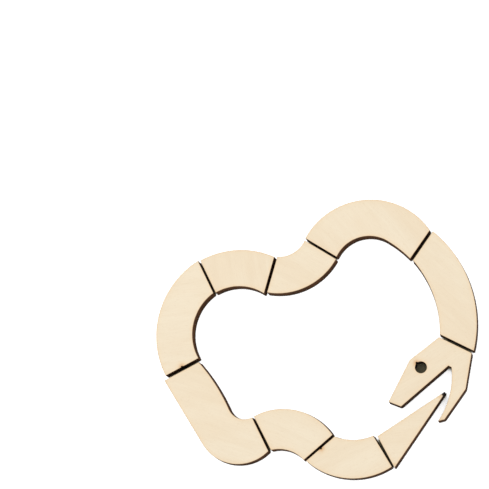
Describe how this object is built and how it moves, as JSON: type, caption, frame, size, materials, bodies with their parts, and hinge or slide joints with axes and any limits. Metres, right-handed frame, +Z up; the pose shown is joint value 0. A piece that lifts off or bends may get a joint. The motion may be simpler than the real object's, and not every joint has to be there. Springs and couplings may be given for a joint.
{
  "type": "loose-piece snake puzzle",
  "caption": "Flat plywood snake puzzle laid out as an open ring: a head with a round eye and open jaws, curved body pieces and a pointed tail, all loose.",
  "frame": {"origin": "centre of the ring's box, on the underside of the pieces", "axes": "+Z up through the board's thickness; +X along the ring's length towards the head; +Y towards the crest arc"},
  "size_m": [0.1026, 0.0888, 0.004],
  "materials": {
    "birch_plywood": "unvarnished, matte, with scorched dark brown cut edges"
  },
  "bodies": {
    "head": {"head": "birch_plywood"},
    "neck_arc": {"neck_arc": "birch_plywood"},
    "crest_arc": {"crest_arc": "birch_plywood"},
    "crossover_bend": {"crossover_bend": "birch_plywood"},
    "shoulder_arc": {"shoulder_arc": "birch_plywood"},
    "flank_arc": {"flank_arc": "birch_plywood"},
    "belly_elbow": {"belly_elbow": "birch_plywood"},
    "hip_bend": {"hip_bend": "birch_plywood"},
    "rump_arc": {"rump_arc": "birch_plywood"},
    "tail": {"tail": "birch_plywood"}
  },
  "joints": [
    {"name": "neck_arc_lift", "type": "slide", "parent": "head", "child": "neck_arc", "axis": [0, 0, 1], "range_m": [0, 0.03]},
    {"name": "crest_arc_lift", "type": "slide", "parent": "head", "child": "crest_arc", "axis": [0, 0, 1], "range_m": [0, 0.03]},
    {"name": "crossover_bend_lift", "type": "slide", "parent": "head", "child": "crossover_bend", "axis": [0, 0, 1], "range_m": [0, 0.03]},
    {"name": "shoulder_arc_lift", "type": "slide", "parent": "head", "child": "shoulder_arc", "axis": [0, 0, 1], "range_m": [0, 0.03]},
    {"name": "flank_arc_lift", "type": "slide", "parent": "head", "child": "flank_arc", "axis": [0, 0, 1], "range_m": [0, 0.03]},
    {"name": "belly_elbow_lift", "type": "slide", "parent": "head", "child": "belly_elbow", "axis": [0, 0, 1], "range_m": [0, 0.03]},
    {"name": "hip_bend_lift", "type": "slide", "parent": "head", "child": "hip_bend", "axis": [0, 0, 1], "range_m": [0, 0.03]},
    {"name": "rump_arc_lift", "type": "slide", "parent": "head", "child": "rump_arc", "axis": [0, 0, 1], "range_m": [0, 0.03]},
    {"name": "tail_lift", "type": "slide", "parent": "head", "child": "tail", "axis": [0, 0, 1], "range_m": [0, 0.03]}
  ]
}
